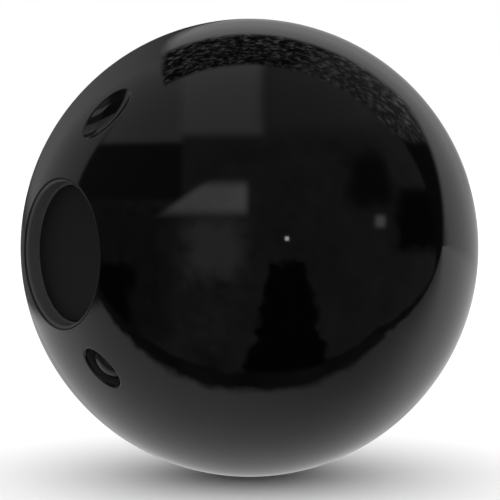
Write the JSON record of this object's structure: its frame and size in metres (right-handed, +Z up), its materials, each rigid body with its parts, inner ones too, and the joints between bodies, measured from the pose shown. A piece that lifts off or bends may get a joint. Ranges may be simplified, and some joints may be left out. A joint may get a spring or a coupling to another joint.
{
  "type": "case opening friction ball",
  "caption": "Glossy black hollow rubber ball with a round base recess, a matte disc set in it, a small stoppered valve port and an oval dimple, for turning screw-down watch case backs.",
  "frame": {"origin": "the ball's centre, where the hand's grip closes on it", "axes": "+Z up with the ball lying on its side as on a bench, -X out of the base recess"},
  "size_m": [0.0634, 0.065, 0.065],
  "materials": {
    "tacky_cover": "soft tacky rubber, buffed to a high gloss",
    "core_rubber": "firm moulded rubber, satin",
    "rubber_cement": "cured rubber cement, semi-gloss",
    "disc_rubber": "matte fine-grained rubber",
    "valve_rubber": "soft satin rubber",
    "stopper_rubber": "hard rubber, satin"
  },
  "bodies": {
    "ball": {"cover_recess_half": "tacky_cover", "cover_plain_half": "tacky_cover", "cover_seam_cement": "rubber_cement", "core_recess_half": "core_rubber", "core_plain_half": "core_rubber", "core_seam_cement": "rubber_cement", "base_disc": "disc_rubber", "disc_cement": "rubber_cement", "valve_sleeve": "valve_rubber"},
    "stopper": {"valve_stopper": "stopper_rubber"}
  },
  "joints": [
    {"name": "stopper_pull", "type": "slide", "parent": "ball", "child": "stopper", "axis": [-0.8683, -0.1802, -0.4622], "range_m": [0, 0.0045]}
  ]
}
